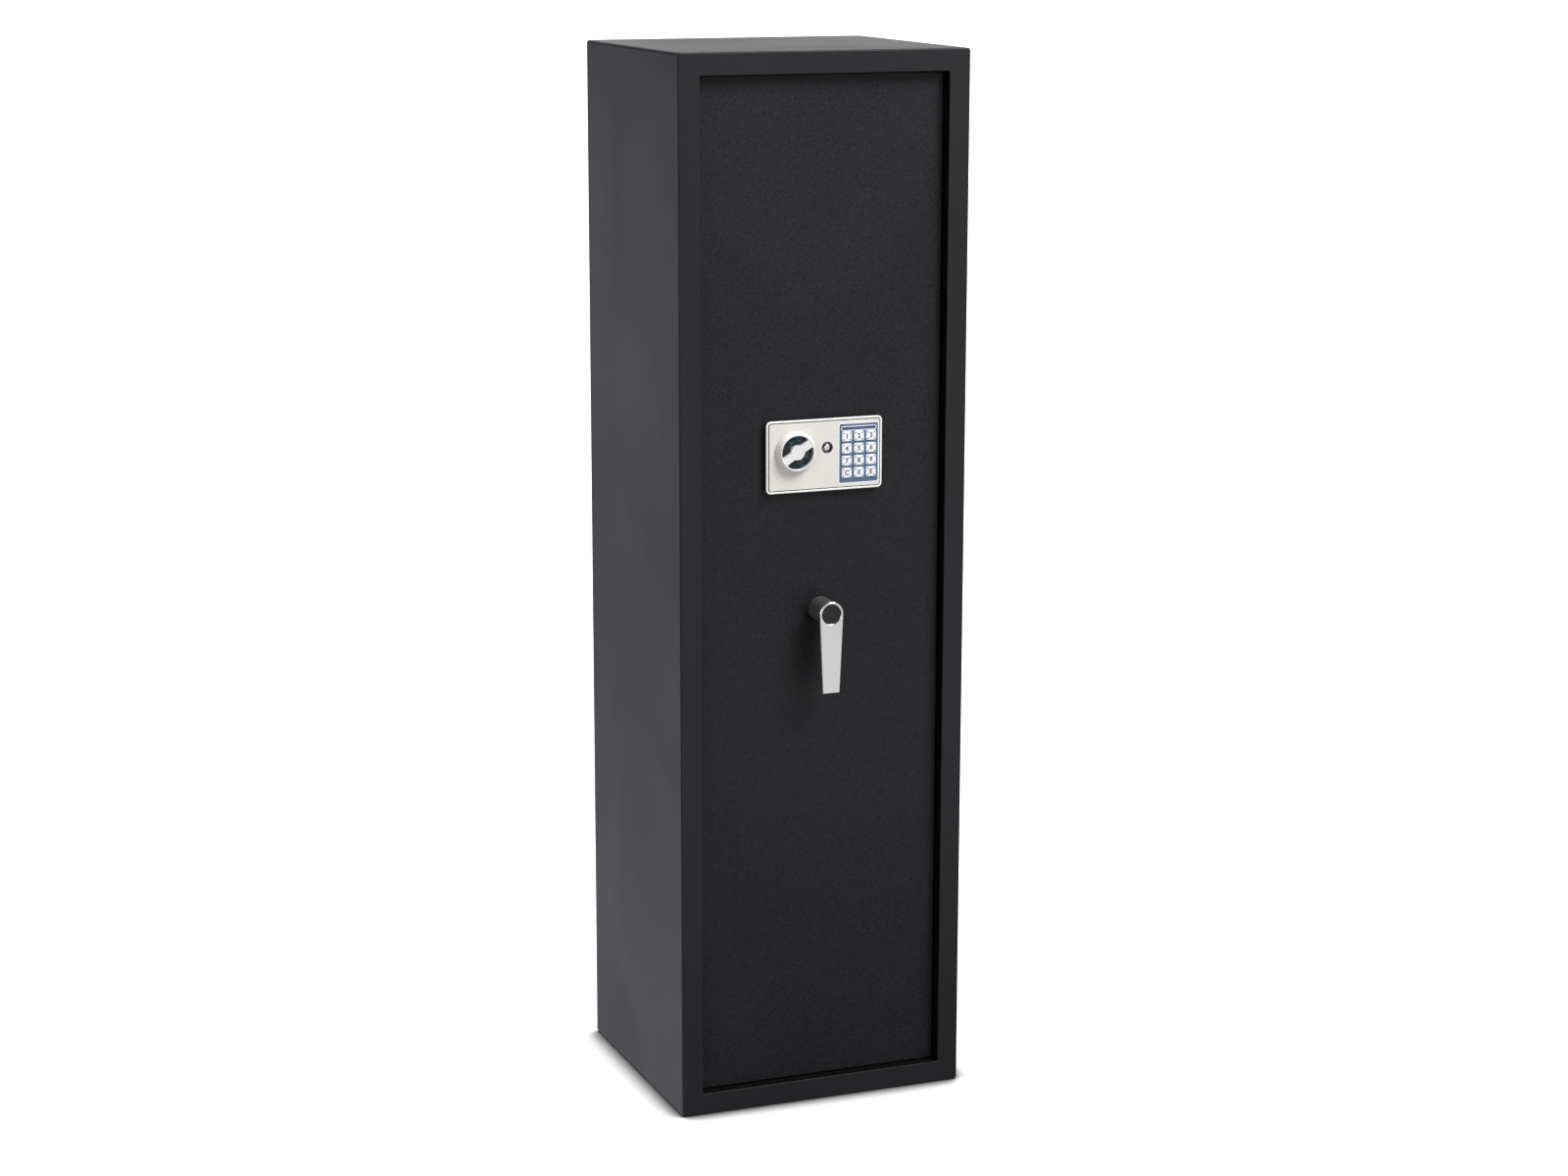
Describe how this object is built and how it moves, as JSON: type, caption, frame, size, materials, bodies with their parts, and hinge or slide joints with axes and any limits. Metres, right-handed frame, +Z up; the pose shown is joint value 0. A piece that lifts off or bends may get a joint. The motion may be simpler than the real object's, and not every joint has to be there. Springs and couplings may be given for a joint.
{
  "type": "gun safe",
  "caption": "Tall narrow steel gun safe with a recessed hinged door, lever handle, sliding locking bolts, keypad lock with knob and key cylinder, and a foam barrel rest inside.",
  "frame": {"origin": "middle of the cabinet's footprint, on the floor", "axes": "+Z up along the height; the door faces -Y; +X is to the right seen from the front, where the hinge is; +Y is the back panel's outward normal"},
  "size_m": [0.4, 0.386, 1.4],
  "materials": {
    "body_paint": "fine-textured charcoal powder coat",
    "door_paint": "textured near-black powder coat with a faint sparkle",
    "bare_steel": "zinc-plated steel",
    "lever_metal": "satin chrome with polished edges",
    "black_plastic": "matt black moulding",
    "panel_silver": "satin champagne-silver paint on plastic",
    "keypad_blue": "printed steel-blue overlay",
    "key_white": "white moulded keycaps",
    "inlay_dark": "dark blue-green speckled disc",
    "lens_blue": "dark tinted lens",
    "brass": "turned brass",
    "circuit_green": "green circuit board",
    "battery_wrap": "printed cell sleeve, no text",
    "reset_red": "red moulding",
    "foam_grey": "dark grey foam"
  },
  "bodies": {
    "cabinet": {"body_shell": "body_paint", "back_panel": "body_paint", "door_stop_frame": "body_paint", "hinge_pin_lower": "bare_steel", "hinge_pin_upper": "bare_steel", "hinge_washer": "black_plastic", "rack_bracket": "body_paint", "barrel_rest": "foam_grey", "floor_mat": "foam_grey"},
    "door": {"door_plate": "door_paint", "hinge_block_lower": "body_paint", "hinge_block_upper": "body_paint", "door_box": "body_paint", "door_cover": "body_paint", "spindle_bush": "brass", "bar_guide_upper": "bare_steel", "bar_guide_lower": "bare_steel", "panel_housing": "panel_silver", "panel_face": "panel_silver", "keypad_plate": "keypad_blue", "led_window": "lens_blue", "keypad_board": "circuit_green", "latch_guide": "bare_steel", "lock_cylinder": "lever_metal", "solenoid": "bare_steel", "battery_box": "black_plastic", "battery_pack": "battery_wrap"},
    "handle": {"handle_stem": "black_plastic", "handle_lever": "lever_metal", "handle_cap": "black_plastic", "handle_spindle": "bare_steel", "bolt_cam": "bare_steel"},
    "bolt_carriage": {"bolt_bar": "bare_steel", "drive_plate": "bare_steel", "locking_bolt_upper": "bare_steel", "locking_bolt_middle": "bare_steel", "locking_bolt_lower": "bare_steel"},
    "knob": {"knob": "panel_silver", "knob_inlay": "inlay_dark", "knob_shaft": "bare_steel"},
    "latch": {"latch_slide": "bare_steel"},
    "key_plug": {"lock_plug": "lever_metal", "override_cam": "bare_steel"},
    "plunger": {"solenoid_plunger": "bare_steel", "plunger_spring": "bare_steel"},
    "battery_lid": {"battery_lid": "black_plastic"},
    "reset_button": {"reset_button": "reset_red"},
    "key_1": {"key_1": "key_white"},
    "key_2": {"key_2": "key_white"},
    "key_3": {"key_3": "key_white"},
    "key_4": {"key_4": "key_white"},
    "key_5": {"key_5": "key_white"},
    "key_6": {"key_6": "key_white"},
    "key_7": {"key_7": "key_white"},
    "key_8": {"key_8": "key_white"},
    "key_9": {"key_9": "key_white"},
    "key_c": {"key_c": "key_white"},
    "key_0": {"key_0": "key_white"},
    "key_e": {"key_e": "key_white"}
  },
  "joints": [
    {"name": "door_swing", "type": "hinge", "parent": "cabinet", "child": "door", "pos_m": [0.152, -0.156, 0.7], "axis": [0, 0, 1], "range_deg": [0, 95]},
    {"name": "handle_turn", "type": "hinge", "parent": "door", "child": "handle", "pos_m": [0, -0.165, 0.6755], "axis": [0, -1, 0], "range_deg": [0, 90]},
    {"name": "bolt_slide", "type": "slide", "parent": "door", "child": "bolt_carriage", "axis": [-1, 0, 0], "range_m": [0, 0.0199]},
    {"name": "knob_turn", "type": "hinge", "parent": "door", "child": "knob", "pos_m": [-0.039, -0.174, 0.8876], "axis": [0, -1, 0], "range_deg": [0, 90]},
    {"name": "latch_slide", "type": "slide", "parent": "door", "child": "latch", "axis": [0, 0, -1], "range_m": [0, 0.0142]},
    {"name": "key_turn", "type": "hinge", "parent": "door", "child": "key_plug", "pos_m": [0.0057, -0.174, 0.8904], "axis": [0, 1, 0], "range_deg": [0, 90]},
    {"name": "plunger_slide", "type": "slide", "parent": "door", "child": "plunger", "axis": [-1, 0, 0], "range_m": [0, 0.006], "deforming": ["plunger_spring"]},
    {"name": "battery_lid_slide", "type": "slide", "parent": "door", "child": "battery_lid", "axis": [0, 0, 1], "range_m": [0, 0.072]},
    {"name": "reset_press", "type": "slide", "parent": "door", "child": "reset_button", "axis": [0, -1, 0], "range_m": [0, 0.0015], "stiffness_N_per_m": 600, "springref_m": -0.0003},
    {"name": "key_1_press", "type": "slide", "parent": "door", "child": "key_1", "axis": [0, 1, 0], "range_m": [0, 0.001], "stiffness_N_per_m": 500, "springref_m": -0.0002},
    {"name": "key_2_press", "type": "slide", "parent": "door", "child": "key_2", "axis": [0, 1, 0], "range_m": [0, 0.001], "stiffness_N_per_m": 500, "springref_m": -0.0002},
    {"name": "key_3_press", "type": "slide", "parent": "door", "child": "key_3", "axis": [0, 1, 0], "range_m": [0, 0.001], "stiffness_N_per_m": 500, "springref_m": -0.0002},
    {"name": "key_4_press", "type": "slide", "parent": "door", "child": "key_4", "axis": [0, 1, 0], "range_m": [0, 0.001], "stiffness_N_per_m": 500, "springref_m": -0.0002},
    {"name": "key_5_press", "type": "slide", "parent": "door", "child": "key_5", "axis": [0, 1, 0], "range_m": [0, 0.001], "stiffness_N_per_m": 500, "springref_m": -0.0002},
    {"name": "key_6_press", "type": "slide", "parent": "door", "child": "key_6", "axis": [0, 1, 0], "range_m": [0, 0.001], "stiffness_N_per_m": 500, "springref_m": -0.0002},
    {"name": "key_7_press", "type": "slide", "parent": "door", "child": "key_7", "axis": [0, 1, 0], "range_m": [0, 0.001], "stiffness_N_per_m": 500, "springref_m": -0.0002},
    {"name": "key_8_press", "type": "slide", "parent": "door", "child": "key_8", "axis": [0, 1, 0], "range_m": [0, 0.001], "stiffness_N_per_m": 500, "springref_m": -0.0002},
    {"name": "key_9_press", "type": "slide", "parent": "door", "child": "key_9", "axis": [0, 1, 0], "range_m": [0, 0.001], "stiffness_N_per_m": 500, "springref_m": -0.0002},
    {"name": "key_c_press", "type": "slide", "parent": "door", "child": "key_c", "axis": [0, 1, 0], "range_m": [0, 0.001], "stiffness_N_per_m": 500, "springref_m": -0.0002},
    {"name": "key_0_press", "type": "slide", "parent": "door", "child": "key_0", "axis": [0, 1, 0], "range_m": [0, 0.001], "stiffness_N_per_m": 500, "springref_m": -0.0002},
    {"name": "key_e_press", "type": "slide", "parent": "door", "child": "key_e", "axis": [0, 1, 0], "range_m": [0, 0.001], "stiffness_N_per_m": 500, "springref_m": -0.0002}
  ],
  "couplings": [
    {"joint": "bolt_slide", "follows": "handle_turn", "m_per_rad": 0.012604},
    {"joint": "latch_slide", "follows": "knob_turn", "m_per_rad": 0.0090032}
  ]
}
